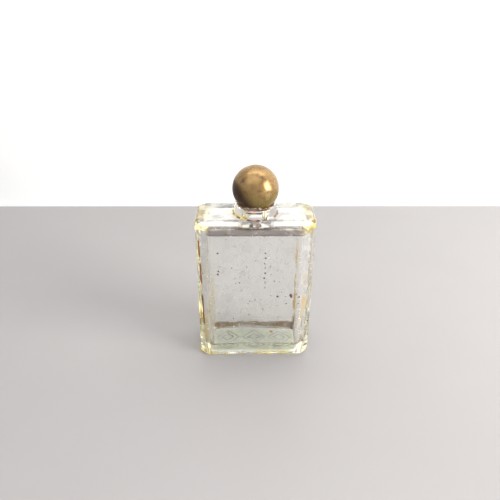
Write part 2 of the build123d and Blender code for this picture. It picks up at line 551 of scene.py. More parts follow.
for name, test, scale, strength in (
    ("inner_wall", lies_inside, 11 * MM, 0.30 * MM),
    ("outer_wall", lies_outside, 16 * MM, 0.10 * MM),
):
    group = bottle.vertex_groups.new(name=name)
    group.add([vert.index for vert in bottle.data.vertices if test(vert.co)], 1.0, "REPLACE")
    clouds = bpy.data.textures.new(name, "CLOUDS")
    clouds.noise_scale = scale
    clouds.noise_depth = 1
    apply_modifier(
        bottle,
        "DISPLACE",
        texture=clouds,
        texture_coords="LOCAL",
        strength=strength,
        mid_level=1.0 if name == "outer_wall" else 0.5,
        vertex_group=name,
    )
for corner in (bottle.bound_box[0], bottle.bound_box[6]):
    print("a corner of the box after waving", [round(side / MM, 3) for side in corner])

# %% [markdown]
# ## Materials from nodes
# Each finish is a small graph of noise and ramps on Object coordinates, so it sticks to the piece and
# needs no picture. A few helpers keep the graphs short.

# %% Node helpers
class Finish:
    """A new material with a Principled shader and short ways to add nodes."""

    def __init__(self, name):
        self.material = bpy.data.materials.new(name)
        self.material.use_nodes = True
        self.tree = self.material.node_tree
        self.shader = self.tree.nodes["Principled BSDF"]
        self.place = self.add("ShaderNodeTexCoord").outputs["Object"]

    def add(self, kind, **settings):
        """Adds a node and sets its properties."""
        node = self.tree.nodes.new(kind)
        for name, value in settings.items():
            setattr(node, name, value)
        return node

    def link(self, source, target):
        """Joins an output to an input."""
        self.tree.links.new(source, target)

    def set(self, **values):
        """Gives inputs of the shader a constant value."""
        for name, value in values.items():
            self.shader.inputs[name.replace("_", " ")].default_value = value

    def wire(self, name, source):
        """Joins an output to an input of the shader."""
        self.link(source, self.shader.inputs[name])

    def mapped(self, scale):
        """The piece's own coordinates, stretched or flattened along each axis."""
        node = self.add("ShaderNodeMapping")
        node.inputs["Scale"].default_value = scale
        self.link(self.place, node.inputs["Vector"])
        return node.outputs["Vector"]

    def noise(self, size, detail=3.0, rough=0.5, distortion=0.0, vector=None):
        """Noise with features of about that size in metres."""
        node = self.add("ShaderNodeTexNoise")
        node.inputs["Scale"].default_value = 1 / size
        node.inputs["Detail"].default_value = detail
        node.inputs["Roughness"].default_value = rough
        node.inputs["Distortion"].default_value = distortion
        self.link(vector or self.place, node.inputs["Vector"])
        return node.outputs["Fac"]

    def dots(self, spacing, radius, share):
        """Soft round dots in a share of the cells of a net that wide."""
        node = self.add("ShaderNodeTexVoronoi")
        node.inputs["Scale"].default_value = 1 / spacing
        self.link(self.place, node.inputs["Vector"])
        luck = self.add("ShaderNodeSeparateColor")
        self.link(node.outputs["Color"], luck.inputs["Color"])
        near = self.ramp(node.outputs["Distance"], radius / spacing, 0.6 * radius / spacing)
        chosen = self.ramp(luck.outputs["Red"], share + 0.01, share)
        return self.math("MULTIPLY", near, chosen)

    def cells(self, size):
        """Distance to the nearest cell's middle, in cell widths."""
        node = self.add("ShaderNodeTexVoronoi")
        node.inputs["Scale"].default_value = 1 / size
        self.link(self.place, node.inputs["Vector"])
        return node.outputs["Distance"]

    def ramp(self, source, low, high, start=0.0, end=1.0):
        """Maps low..high to start..end, smoothly and clamped."""
        node = self.add("ShaderNodeMapRange", interpolation_type="SMOOTHSTEP")
        for name, value in (("From Min", low), ("From Max", high), ("To Min", start), ("To Max", end)):
            node.inputs[name].default_value = value
        self.link(source, node.inputs["Value"])
        return node.outputs["Result"]

    def math(self, operation, *values):
        """A Math node on sockets or plain numbers."""
        node = self.add("ShaderNodeMath", operation=operation)
        for socket, value in zip(node.inputs, values):
            if isinstance(value, (int, float)):
                socket.default_value = value
            else:
                self.link(value, socket)
        return node.outputs["Value"]

    def product(self, *values):
        """Multiplies any number of values."""
        result = values[0]
        for value in values[1:]:
            result = self.math("MULTIPLY", result, value)
        return result

    def total(self, *values):
        """Adds any number of values."""
        result = values[0]
        for value in values[1:]:
            result = self.math("ADD", result, value)
        return result

    def most(self, *values):
        """The largest of any number of values."""
        result = values[0]
        for value in values[1:]:
            result = self.math("MAXIMUM", result, value)
        return result

    def length(self, vector):
        """The length of a vector."""
        node = self.add("ShaderNodeVectorMath", operation="LENGTH")
        self.link(vector, node.inputs[0])
        return node.outputs["Value"]

    def mix(self, factor, a, b):
        """Mixes two colours."""
        node = self.add("ShaderNodeMix", data_type="RGBA")
        sockets = [socket for socket in node.inputs if socket.enabled]
        for socket, value in zip(sockets, (factor, a, b)):
            if isinstance(value, (int, float)):
                socket.default_value = value
            elif isinstance(value, tuple):
                socket.default_value = (*value, 1.0)
            else:
                self.link(value, socket)
        return next(socket for socket in node.outputs if socket.enabled)

    def axes(self):
        """The piece's own X, Y and Z."""
        node = self.add("ShaderNodeSeparateXYZ")
        self.link(self.place, node.inputs["Vector"])
        return node.outputs["X"], node.outputs["Y"], node.outputs["Z"]

    def bump(self, height, strength, distance):
        """Bends the shading as if the surface went up and down."""
        node = self.add("ShaderNodeBump")
        node.inputs["Strength"].default_value = strength
        node.inputs["Distance"].default_value = distance
        self.link(height, node.inputs["Height"])
        self.wire("Normal", node.outputs["Normal"])


# %% [markdown]
# ## Old clear glass
# The batch has a trace of iron and manganese, so it looks clear through one wall and straw coloured
# along the edges, where light runs through centimetres of it. Absorption inside the glass gives just
# that, while a tint on the surface would colour every pane alike.
#
# The dirt lies on the two skins and not in the glass, and so do a few patches of painted shadow,
# highlight and reflection. Each kind of dirt, and each painted patch, is a mask from 0 to 1: a place,
# such as "low and at the back", times some noise. The masks together then say how much of the glass
# is covered, what colour the cover has, and how the rest is tinted.

# %% Constants of the glass
GLASS_IOR = 1.5
STRAW = (0.96, 0.93, 0.66)
STRAW_DENSITY = 9.0
CLEAR = (0.99, 0.992, 0.985)


# %% Helpers for masks
def band(finish, value, low, high, edge):
    """One between two limits, fading to nothing over the edge."""
    return finish.product(finish.ramp(value, low - edge, low), finish.ramp(value, high + edge, high))


def ahead(finish, mask, other, fade=0.2):
    """One where a mask is stronger than another."""
    return finish.ramp(finish.math("SUBTRACT", mask, other), 0.0, fade)


# %% [markdown]
# ## Dirt and painted light on the outside
# Fingers and a cloth keep the faces clean, so dirt stays where they can't reach: round the collar,
# along the cut corners, at the foot, and in the panel underneath, which has a chalky scale. Syrup ran
# down one corner and dried brown. Painted light is laid on in the same way: a shadow and a reflection
# on the collar, a golden reflection of the ball at its root, a highlight on the front edge of the
# shoulder and shade beside the raised work underneath.

# %% Grime round the collar, with a painted shadow and a painted reflection
def collar_grime_and_painted_light(finish, x, y, z, radius):
    """Dirt on the ledge and round its root, a painted shadow along its rim, and a painted reflection below
    it.
    """
    uneven = finish.ramp(finish.noise(3 * MM, 3.0), 0.38, 0.58, 0.25, 1.0)
    ledge = finish.product(
        band(finish, z, collar_top - 0.15 * MM, collar_top + 0.15 * MM, 0.3 * MM),
        finish.ramp(radius, 8.4 * MM, 7.4 * MM),
        uneven,
        0.7,
    )
    # A painted shadow under the ball's edge, along the rim of the collar.
    rim = finish.product(
        band(finish, z, collar_top - 0.4 * MM, collar_top - 0.05 * MM, 0.15 * MM),
        band(finish, x, -5 * MM, 5 * MM, 2 * MM),
        0.45,
    )
    # A painted dark reflection on the front of the collar.
    painted_reflection = finish.product(
        band(finish, z, collar_top - 1.5 * MM, collar_top - 1.05 * MM, 0.2 * MM),
        band(finish, x, -3.4 * MM, 2.2 * MM, MM),
        band(finish, radius, 8 * MM, 9.4 * MM, 0.3 * MM),
        finish.ramp(y, 0, -MM, 0.0, 0.6),
    )
    root = finish.product(
        band(finish, z, shoulder - 0.05 * MM, shoulder + 0.35 * MM, 0.1 * MM),
        band(finish, radius, 8.6 * MM, 9.5 * MM, 0.3 * MM),
        uneven,
        0.5,
    )
    return finish.most(ledge, rim, painted_reflection, root)


# %% The brown run
def streak_along(finish, x, y, z):
    """A brown streak down the left front corner, broken where it dried unevenly."""
    slant = finish.math("MULTIPLY_ADD", z, -0.052, finish.math("SUBTRACT", y, x))
    off = finish.math("ABSOLUTE", finish.math("SUBTRACT", slant, 11.4 * MM))
    ends = finish.product(
        finish.ramp(z, 8 * MM, 24 * MM), finish.ramp(z, 63 * MM, 58 * MM), finish.ramp(y, 0, -MM)
    )
    fray = finish.noise(1.5 * MM, 4.0, 0.6, vector=finish.mapped(scale=(1, 1, 0.4)))
    breaks = finish.noise(7 * MM, 2.0, vector=finish.mapped(scale=(0.4, 0.4, 1)))
    width = finish.ramp(finish.total(off, finish.product(fray, 0.9 * MM)), 1.5 * MM, 0.8 * MM)
    return finish.product(width, ends, finish.ramp(breaks, 0.42, 0.56))


# %% Amber corners and a painted reflection by the collar
def amber_stain_and_reflection(finish, x, z, across, deep, radius, runs, clouds):
    """Glass stained clear yellow in the corners, at the shoulder's ends and at the foot, and a painted
    golden reflection of the ball by the collar.
    """
    corner = finish.ramp(finish.total(across, deep, finish.product(runs, 3 * MM)), 31.2 * MM, 33.8 * MM)
    corner = finish.product(
        corner,
        finish.ramp(runs, 0.42, 0.62, 0.15, 1.0),
        finish.ramp(x, 12 * MM, -12 * MM, 0.25, 1.0),
        finish.ramp(z, 40 * MM, 8 * MM, 0.25, 1.0),
    )
    shoulder_end = finish.product(
        finish.ramp(z, 59 * MM, 65 * MM),
        finish.ramp(across, 18 * MM, 23 * MM),
        finish.ramp(clouds, 0.38, 0.6),
    )
    foot = finish.product(finish.ramp(z, 3.5 * MM, 0.8 * MM), finish.ramp(clouds, 0.45, 0.6, 0.1, 0.7))
    # A painted golden reflection of the brass ball, left of the collar's root.
    root = finish.product(
        finish.ramp(radius, 10.6 * MM, 9.0 * MM),
        finish.ramp(z, 68.4 * MM, 66.8 * MM),
        finish.ramp(z, 64 * MM, 66 * MM),
        finish.ramp(x, -2 * MM, -6 * MM),
    )
    return finish.most(corner, shoulder_end, foot, root)


# %% Chalk underneath
def chalk_under(finish, z, across, deep, clouds):
    """Cover and colour of the scale in the panel: white on the raised work, with painted grey shade beside
    it.
    """
    half_width, half_depth = panel_width / 2, panel_depth / 2
    under = finish.product(
        finish.ramp(z, 0.9 * MM, 0.7 * MM),
        finish.ramp(across, half_width + 0.65 * MM, half_width - 0.35 * MM),
        finish.ramp(deep, half_depth + 0.6 * MM, half_depth - 0.2 * MM),
    )
    border = finish.most(
        finish.ramp(across, half_width - 1.15 * MM, half_width - 0.85 * MM),
        finish.ramp(deep, half_depth - 1.2 * MM, half_depth - 0.9 * MM),
    )
    proud = finish.product(under, finish.most(finish.ramp(z, 0.58 * MM, 0.5 * MM), border))
    along = finish.math("PINGPONG", across, lozenge_pitch / 2)
    reach = finish.total(
        finish.product(along, 2 / lozenge_size[0]), finish.product(deep, 2 / lozenge_size[1])
    )
    # A band of painted shade beside each lozenge line.
    beside = finish.most(band(finish, reach, 0.50, 0.70, 0.1), band(finish, reach, 1.04, 1.2, 0.1))
    scale = finish.product(under, finish.ramp(clouds, 0.3, 0.7, 0.76, 0.86))
    # The painted shade beside the raised work is grey olive.
    pale = finish.mix(beside, (0.86, 0.93, 0.72), (0.46, 0.50, 0.36))
    return finish.total(scale, finish.product(proud, 0.24)), finish.mix(proud, pale, (1.0, 1.0, 1.0))


# %% Dust and a painted highlight on top
def dust_and_edge_highlight(finish, y, z, across, clouds):
    """Dust on the flat of the shoulder, and a white painted highlight along its front edge."""
    shoulder_marks = finish.product(
        band(finish, z, shoulder - 0.05 * MM, shoulder + 0.1 * MM, 0.15 * MM),
        finish.ramp(clouds, 0.36, 0.62, 0.06, 0.40),
    )
    # A painted white highlight on the rounded front edge of the shoulder.
    painted_edge_highlight = finish.product(
        band(finish, z, shoulder - 1.1 * MM, shoulder - 0.2 * MM, 0.5 * MM),
        finish.ramp(y, -8.6 * MM, -9.6 * MM),
        finish.ramp(across, 4.5 * MM, 8.5 * MM),
        finish.ramp(clouds, 0.3, 0.55, 0.35, 0.75),
    )
    return finish.most(shoulder_marks, painted_edge_highlight)


# %% All of the outside
def outer_film_and_painted_light(finish, x, y, z, across, deep):
    """Cover, tint and colour of the outer skin."""
    runs = finish.noise(2.6 * MM, 4.0, 0.6, vector=finish.mapped(scale=(1, 1, 0.16)))
    clouds = finish.noise(5 * MM, 3.0)
    radius = finish.length(finish.mapped(scale=(1, 1, 0)))
    amber = amber_stain_and_reflection(finish, x, z, across, deep, radius, runs, clouds)
    chalk, pale = chalk_under(finish, z, across, deep, clouds)
    shoulder_marks = dust_and_edge_highlight(finish, y, z, across, clouds)
    streak = finish.product(streak_along(finish, x, y, z), 0.95)
    # The collar's marks include a painted shadow and a painted reflection.
    stains_and_painted_light = finish.most(streak, collar_grime_and_painted_light(finish, x, y, z, radius))

    # These yellows colour the amber stains and the painted reflection of the ball.
    yellow = finish.mix(finish.ramp(amber, 0.2, 0.9), (1.0, 0.93, 0.55), (1.0, 0.66, 0.12))
    tint = finish.mix(finish.ramp(amber, 0.02, 0.35), CLEAR, yellow)
    tint = finish.mix(finish.ramp(chalk, 0.05, 0.3), tint, (0.92, 0.98, 0.88))
    # This brown also colours the painted shadow and reflection on the collar.
    brown = finish.mix(finish.ramp(runs, 0.4, 0.6), (0.07, 0.016, 0.003), (0.36, 0.12, 0.012))
    colour = finish.mix(finish.ramp(chalk, 0.0, 0.2), brown, pale)
    # Dust and the painted highlight take this pale colour.
    colour = finish.mix(ahead(finish, shoulder_marks, stains_and_painted_light, 0.1), colour, (0.95, 0.93, 0.84))
    return finish.most(stains_and_painted_light, chalk, shoulder_marks), tint, colour


# %% [markdown]
# ## Dirt and a painted reflection on the inside
# Nobody can wipe the hollow. A thin haze with white flecks lies all over it, the last medicine dried
# golden in the rear corners and brown at the foot of the back wall, and the rounding under the roof
# at the front has a painted dark grey reflection.

# %% All of the inside
def inner_film_and_painted_light(finish, x, y, z, across, deep):
    """Cover, tint and colour of the inner skin."""
    clouds = finish.noise(8 * MM, 4.0)
    drip = finish.noise(2.2 * MM, 4.0, 0.6, vector=finish.mapped(scale=(1, 1, 0.25)))
    haze = finish.ramp(clouds, 0.38, 0.68, 0.03, 0.20)
    zone = finish.ramp(finish.noise(6 * MM, 2.0), 0.40, 0.56)
    flecks = finish.most(finish.dots(1.4 * MM, 0.30 * MM, 0.5), finish.dots(3.1 * MM, 0.58 * MM, 0.4))
    flecks = finish.product(flecks, zone, 0.9)
    spots = finish.dots(3.4 * MM, 0.38 * MM, 0.45)

    corner = finish.product(
        finish.ramp(finish.total(finish.product(drip, 2 * MM), across, deep), 27.75 * MM, 28.5 * MM),
        finish.ramp(finish.total(x, y), 10 * MM, 20 * MM, 0.25, 1.0),
        finish.ramp(z, 58 * MM, 20 * MM, 0.1, 1.0),
        finish.ramp(drip, 0.36, 0.6, 0.3, 1.0),
    )
    tide = finish.product(
        finish.ramp(finish.total(z, finish.product(drip, 3 * MM)), 7.4 * MM, 5.6 * MM),
        finish.ramp(y, 5.2 * MM, 7.4 * MM),
        finish.ramp(drip, 0.34, 0.5, 0.45, 1.0),
    )
    # A painted dark reflection on the front of the rounding under the roof.
    painted_dark_band = finish.product(
        finish.ramp(z, 59.3 * MM, 60.3 * MM),
        finish.ramp(y, -4.4 * MM, -5.4 * MM),
        finish.ramp(clouds, 0.3, 0.6, 0.45, 0.65),
    )
    dirt = finish.most(tide, corner, spots)

    brown = finish.mix(finish.noise(2 * MM, 3.0), (0.055, 0.024, 0.003), (0.24, 0.12, 0.012))
    golden = finish.product(ahead(finish, corner, finish.most(tide, spots)), finish.ramp(z, 6 * MM, 14 * MM))
    colour = finish.mix(golden, brown, (0.72, 0.43, 0.06))
    colour = finish.mix(ahead(finish, flecks, dirt), colour, (0.93, 0.93, 0.90))
    # The painted dark reflection is laid on in grey.
    colour = finish.mix(ahead(finish, painted_dark_band, finish.most(dirt, flecks)), colour, (0.20, 0.16, 0.15))
    tint = finish.mix(finish.ramp(dirt, 0.05, 0.5), CLEAR, (0.93, 0.78, 0.42))
    return finish.most(haze, flecks, painted_dark_band, finish.product(dirt, 0.93)), tint, colour


# %% [markdown]
# ## One material for both skins
# The renderer follows each ray into and out of a closed mesh, and matches the two crossings by mesh
# and material. With one material outside and another inside it would never see the ray leave, and
# the hollow would fill with straw colour. So there is one material, and a box round the hollow tells
# it which of the two films to show.

# %% The glass itself
WALL_SLACK = 0.6 * MM


def within_hollow(finish, z, across, deep):
    """One in a box that is a little larger than the hollow, and so on the inner skin."""
    return finish.product(
        finish.math("LESS_THAN", across, cavity_width / 2 + WALL_SLACK),
        finish.math("LESS_THAN", deep, cavity_depth / 2 + WALL_SLACK),
        finish.math("LESS_THAN", z, roof_level + WALL_SLACK),
        finish.math("GREATER_THAN", z, floor_level - WALL_SLACK),
    )


def old_glass():
    """Clear glass with a straw tint in its depth, and a film with painted light on each skin."""
    finish = Finish("clear_glass")
    x, y, z = finish.axes()
    across, deep = finish.math("ABSOLUTE", x), finish.math("ABSOLUTE", y)
    inside = within_hollow(finish, z, across, deep)
    outer = outer_film_and_painted_light(finish, x, y, z, across, deep)
    inner = inner_film_and_painted_light(finish, x, y, z, across, deep)
    cover, tint, colour = (finish.mix(inside, out, within) for out, within in zip(outer, inner))
    finish.wire("Base Color", finish.mix(finish.ramp(cover, 0.12, 0.5), tint, colour))
    finish.wire("Transmission Weight", finish.math("SUBTRACT", 1.0, cover))

    finish.set(IOR=GLASS_IOR)
    peel = finish.noise(3.0 * MM, 2.0)
    scratches = finish.noise(1.2 * MM, 4.0, 0.7, vector=finish.mapped(scale=(1, 1, 0.15)))
    worn = finish.ramp(scratches, 0.56, 0.8, 0.0, 0.12)
    finish.wire("Roughness", finish.most(worn, finish.product(cover, 0.5)))
    finish.bump(finish.total(finish.product(scratches, 0.15), peel), 0.12, 0.2 * MM)

    depth = finish.add("ShaderNodeVolumeAbsorption")
    depth.inputs["Color"].default_value = (*STRAW, 1.0)
    depth.inputs["Density"].default_value = STRAW_DENSITY
    finish.link(depth.outputs["Volume"], finish.tree.nodes["Material Output"].inputs["Volume"])
    print("the glass finish has", len(finish.tree.nodes), "nodes")
    return finish.material


# %% Dress the bottle
bottle.name = "glass_body"
bottle.data.materials.clear()
bottle.data.materials.append(old_glass())
bpy.ops.object.select_all(action="DESELECT")
bottle.select_set(True)
bpy.context.view_layer.objects.active = bottle
bpy.ops.object.shade_smooth_by_angle(angle=math.radians(40))
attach(bottle, "bottle")
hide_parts("glass_bottle")

# %% [markdown]
# ## What the medicine left behind
# Drops have dried on the inside of the front wall, one below another where they ran, and a flake and
# two lumps lie at the bottom. Each is a small flattened ball with an uneven skin, set on the wall.

# %% Dried drops
def drop(place, radii, seed):
    """A small uneven lump."""
    bpy.ops.object.select_all(action="DESELECT")
    bpy.ops.mesh.primitive_ico_sphere_add(subdivisions=3, radius=1, location=place, scale=radii)
    piece = bpy.context.object
    bpy.ops.object.transform_apply(location=True, rotation=True, scale=True)
    middle = Vector(place)
    for vert in piece.data.vertices:
        out = vert.co - middle
        swell = noise.noise(out / max(radii) * 1.3 + Vector((seed, 0, 0)))
        vert.co = middle + out * (1 + 0.35 * swell)
    return piece


front_wall = -cavity_depth / 2
back_wall = cavity_depth / 2
run_top = 52 * MM
run_step = 2.4 * MM
run_side = 4.1 * MM
single_drops = [  # side, height and radius in mm
    (-15.6, 52, 0.4),
    (-15.5, 43.4, 0.38),
    (-15.8, 41.9, 0.45),
    (9.8, 30.7, 0.5),
    (19.2, 30.4, 0.45),
    (19.0, 27, 0.35),
]
drops = []
for step in range(8):
    side = run_side + 0.25 * MM * math.sin(step * 2.2)
    size = (0.30 + 0.09 * math.sin(step * 1.7)) * MM
    drops.append(drop((side, front_wall, run_top - run_step * step), (size, 0.2 * MM, size * 1.2), step))
for number, (side, height, size) in enumerate(single_drops):
    radii = (size * MM, 0.22 * MM, size * MM)
    drops.append(drop((side * MM, front_wall, height * MM), radii, 10 + number))
drops.append(drop((17.6 * MM, back_wall, 20 * MM), (0.8 * MM, 0.45 * MM, 1.1 * MM), 21))
drops.append(drop((18.6 * MM, 5.8 * MM, 3.4 * MM), (1.1 * MM, 0.8 * MM, 0.9 * MM), 22))
residue = join(*drops)
residue.name = "dried_drops"
report(residue)


def dried_medicine():
    """Brown, glossy where it is thick."""
    finish = Finish("dried_medicine")
    patches = finish.noise(1.5 * MM, 3.0)
    finish.wire("Base Color", finish.mix(patches, (0.055, 0.02, 0.008), (0.26, 0.12, 0.03)))
    finish.wire("Roughness", finish.ramp(patches, 0.3, 0.7, 0.25, 0.6))
    finish.bump(finish.noise(0.3 * MM, 2.0), 0.4, 0.05 * MM)
    return finish.material


residue.data.materials.append(dried_medicine())

# %% The last drop
on_the_floor = (8.5 * MM, 1.9 * MM, floor_level + 0.8 * floor_crown)
amber_drop = drop(on_the_floor, (0.85 * MM, 0.75 * MM, 0.4 * MM), 31)
amber_drop.name = "amber_drop"
report(amber_drop)


def amber_resin():
    """The last drop of syrup, orange and half clear."""
    finish = Finish("amber_resin")
    patches = finish.noise(0.8 * MM, 2.0)
    finish.wire("Base Color", finish.mix(patches, (0.62, 0.18, 0.015), (0.85, 0.36, 0.04)))
    finish.set(Roughness=0.2, Transmission_Weight=0.25)
    finish.bump(patches, 0.3, 0.1 * MM)
    return finish.material


amber_drop.data.materials.append(amber_resin())
for piece in (residue, amber_drop):
    piece.data.polygons.foreach_set("use_smooth", [True] * len(piece.data.polygons))
    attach(piece, "bottle")

# %% [markdown]
# ## The brass ball
# The cap is spun from thin brass sheet over a former: a sphere with its lower edge rolled in. A UV
# sphere has its rings where the lathe would leave its own, so it can be cut clean at the rim, the
# rim turned in, and the sheet given its thickness afterwards.

# %% Spin the ball
ball_radius = (ball_high.x - ball_low.x) / 2
ball_centre = ball_high.z - ball_radius
rim_level = ball_low.z
sheet = 0.4 * MM
opening_radius = 6.65 * MM
rim_rounding = 0.45 * MM
bpy.ops.object.select_all(action="DESELECT")
bpy.ops.mesh.primitive_uv_sphere_add(
    segments=128, ring_count=80, radius=ball_radius, location=(0, 0, ball_centre)
)
ball = bpy.context.object
ball.name = "brass_ball"
bpy.ops.object.transform_apply(location=True, rotation=True, scale=True)
edit(ball)
bpy.ops.mesh.select_all(action="SELECT")
bpy.ops.mesh.bisect(plane_co=(0, 0, rim_level + TINY), plane_no=(0, 0, 1), clear_inner=True)
rim_radius = math.sqrt(ball_radius**2 - (ball_centre - rim_level) ** 2)
pick("edges", lambda edge: edge.is_boundary)
bpy.ops.mesh.extrude_edges_move()
shrink = opening_radius / rim_radius
bpy.ops.transform.resize(value=(shrink, shrink, 1), center_override=(0, 0, 0))


def on_rim(edge):
    """True on the fold between the ball's wall and its turned-in edge."""
    wide = all(end.co.xy.length > rim_radius - 0.1 * MM for end in edge.verts)
    return wide and not edge.is_boundary and level_edge(rim_level + TINY)(edge)


pick("edges", on_rim)
bpy.ops.mesh.bevel(offset=rim_rounding, segments=6, affect="EDGES")
bpy.ops.mesh.select_all(action="SELECT")
bpy.ops.mesh.normals_make_consistent(inside=False)
done()
print("rim radius", round(rim_radius / MM, 2))

# %% [markdown]
# ## Dings
# Thin spun brass picks up dents. Each ding is a direction from the ball's centre, a width and a
# depth, and the sheet sinks there in a smooth hollow. The sheet gets its thickness last, so that the
# dents show on the inside too.

# %% Dent and thicken the ball
DINGS = (
    ((-0.32, 0.32, 0.89), 0.8 * MM, 0.14 * MM),
    ((0.55, -0.6, 0.35), 1.6 * MM, 0.04 * MM),
    ((-0.6, -0.75, -0.1), 1.3 * MM, 0.05 * MM),
    ((0.2, 0.9, 0.3), 1.8 * MM, 0.08 * MM),
)
SPIN_MARKS = 0.012 * MM
centre = Vector((0, 0, ball_centre))


def on_ball(direction):
    """The point of the ball that lies in a direction from its centre."""
    return centre + Vector(direction).normalized() * ball_radius


for vert in ball.data.vertices:
    out = (vert.co - centre).normalized()
    sunk = SPIN_MARKS * (1 + noise.noise(vert.co / (3.5 * MM)))
    for direction, width, depth in DINGS:
        away = (vert.co - on_ball(direction)).length
        sunk += depth * math.exp(-((away / width) ** 2))
    if vert.co.z > rim_level + 1 * MM:
        vert.co -= out * sunk
apply_modifier(ball, "SOLIDIFY", thickness=sheet, offset=-1)
report(ball)


# %% [markdown]
# ## Aged brass
# The colour is warm and lighter above and olive below, with a dark brown low on the left that is painted
# shade and a painted dark reflection. Bare metal and the oxide on it differ in more than colour, so the
# finish also mixes how metallic and how rough the ball is. A few dark spots are where drops etched it,
# and one more, inside the window's highlight, is a painted dark reflection.

# %% Dark spots, one of them a painted reflection
DARK_SPOTS = (
    ((-0.54, -0.62, 0.57), 0.7 * MM),
    ((0.23, -0.65, 0.72), 0.5 * MM),
    # A painted dark reflection inside the window's highlight.
    ((0.49, -0.86, 0.16), 0.5 * MM),
)
# The dark brown of the painted shade and reflection low on the left.
SHADE_BROWN = (0.045, 0.018, 0.007)


def near(finish, direction, reach, edge):
    """A round patch on the ball in that direction, fading over its edge."""
    away = finish.add("ShaderNodeVectorMath", operation="DISTANCE")
    finish.link(finish.place, away.inputs[0])
    away.inputs[1].default_value = on_ball(direction)
    wander = finish.product(finish.noise(1.6 * MM, 4.0, 0.6), 2 * edge)
    return finish.ramp(finish.total(away.outputs["Value"], wander), reach + 1.6 * edge, reach + 0.4 * edge)


# %% Aged brass finish
def aged_brass():
    """Worn polish with olive and dark patches, and brown painted shade and reflection low on the left."""
    finish = Finish("aged_brass")
    x, y, z = finish.axes()
    clouds = finish.noise(6 * MM, 4.0, 0.55)
    fine = finish.noise(1.1 * MM, 5.0, 0.62)
    warm = finish.mix(finish.ramp(clouds, 0.35, 0.65), (0.25, 0.148, 0.050), (0.36, 0.222, 0.088))
    height = finish.ramp(z, ball_centre - 5 * MM, ball_centre + 4 * MM)
    colour = finish.mix(height, (0.22, 0.165, 0.05), warm)

    # Brown low on the left, strongest towards the front, is painted shade and a painted dark reflection.
    low_left = finish.total(finish.product(x, -1.0), finish.product(z, -0.8))
    shade = finish.math("MULTIPLY_ADD", clouds, 4 * MM, low_left)
    shade_start = -0.8 * ball_centre + 4.2 * MM
    painted_shade_and_reflection = finish.product(
        finish.ramp(shade, shade_start, shade_start + 4.4 * MM), finish.ramp(y, 4 * MM, -3 * MM, 0.3, 1.0)
    )
    # The painted shade and reflection are laid on in dark brown.
    colour = finish.mix(painted_shade_and_reflection, colour, SHADE_BROWN)
    mottle = finish.noise(2.8 * MM, 3.0, 0.55, 0.8)
    colour = finish.mix(finish.ramp(mottle, 0.5, 0.72, 0.0, 0.55), colour, (0.15, 0.075, 0.03))
    spots = finish.product(finish.dots(2.6 * MM, 0.55 * MM, 0.4), 0.6)
    for direction, reach in DARK_SPOTS:
        spots = finish.most(spots, near(finish, direction, reach, 0.5 * MM))
    finish.wire("Base Color", finish.mix(finish.product(spots, 0.75), colour, (0.10, 0.07, 0.06)))

    dull = finish.total(fine, finish.product(painted_shade_and_reflection, 0.2))
    rough = finish.ramp(dull, 0.3, 0.9, 0.22, 0.40)
    finish.wire("Metallic", finish.ramp(dull, 0.4, 1.0, 0.6, 0.25))
    finish.wire("Roughness", finish.total(rough, finish.product(painted_shade_and_reflection, 0.15)))
    finish.bump(fine, 0.05, 0.08 * MM)
    print("the brass finish has", len(finish.tree.nodes), "nodes")
    return finish.material


ball.data.materials.append(aged_brass())
bpy.ops.object.select_all(action="DESELECT")
ball.select_set(True)
bpy.context.view_layer.objects.active = ball
bpy.ops.object.shade_smooth_by_angle(angle=math.radians(45))
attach(ball, "cap")
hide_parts("brass_ball_shell")


# %% [markdown]
# ## The sleeve
# The threaded sleeve hides in the ball and shows only when the cap is lifted. Its shape in the frame
# is already that of drawn sheet brass with a rolled thread, so it keeps its mesh and gets a finish:
# duller than the ball, with fine streaks round it from the thread roller.

# %% Sleeve brass
def sleeve_brass():
    """Drawn brass, dull, with streaks round the axis."""
    finish = Finish("sleeve_brass")
    finish.set(Metallic=1.0)
    fine = finish.noise(1.0 * MM, 4.0, 0.6)
    streaks = finish.noise(0.4 * MM, 3.0, 0.6, vector=finish.mapped(scale=(0.05, 0.05, 1)))
    finish.wire("Base Color", finish.mix(fine, (0.62, 0.42, 0.17), (0.42, 0.27, 0.11)))
    finish.wire("Roughness", finish.ramp(streaks, 0.3, 0.7, 0.28, 0.5))
    finish.bump(streaks, 0.1, 0.05 * MM)
    return finish.material


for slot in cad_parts["thread_sleeve"].material_slots:
    slot.material = sleeve_brass()
    print("the sleeve wears", slot.material.name)

# %% [markdown]
# ## The seal
# A cork disc with a foil facing lies loose in the top of the sleeve. Nobody sees it until the cap is
# off, but then it shows its cut grain and the ring that the lip has pressed into the foil.

# %% Cork and foil
def disc(name, low, high, rounding, rings):
    """A round disc with softened rims, divided so that it can be shaped."""
    radius = (high.x - low.x) / 2
    bpy.ops.object.select_all(action="DESELECT")
    bpy.ops.mesh.primitive_cylinder_add(
        vertices=96, radius=radius, depth=high.z - low.z, location=(0, 0, (low.z + high.z) / 2)
    )
    piece = bpy.context.object
    piece.name = name
    bpy.ops.object.transform_apply(location=True, rotation=True, scale=True)
    edit(piece)
    pick("edges", lambda edge: level_edge(low.z)(edge) or level_edge(high.z)(edge))
    bpy.ops.mesh.bevel(offset=rounding, segments=3, affect="EDGES")
    for ring in range(rings):
        pick("faces", lambda face: len(face.verts) > 4)
        bpy.ops.mesh.inset(thickness=radius / (rings + 2), use_individual=True)
    return done()


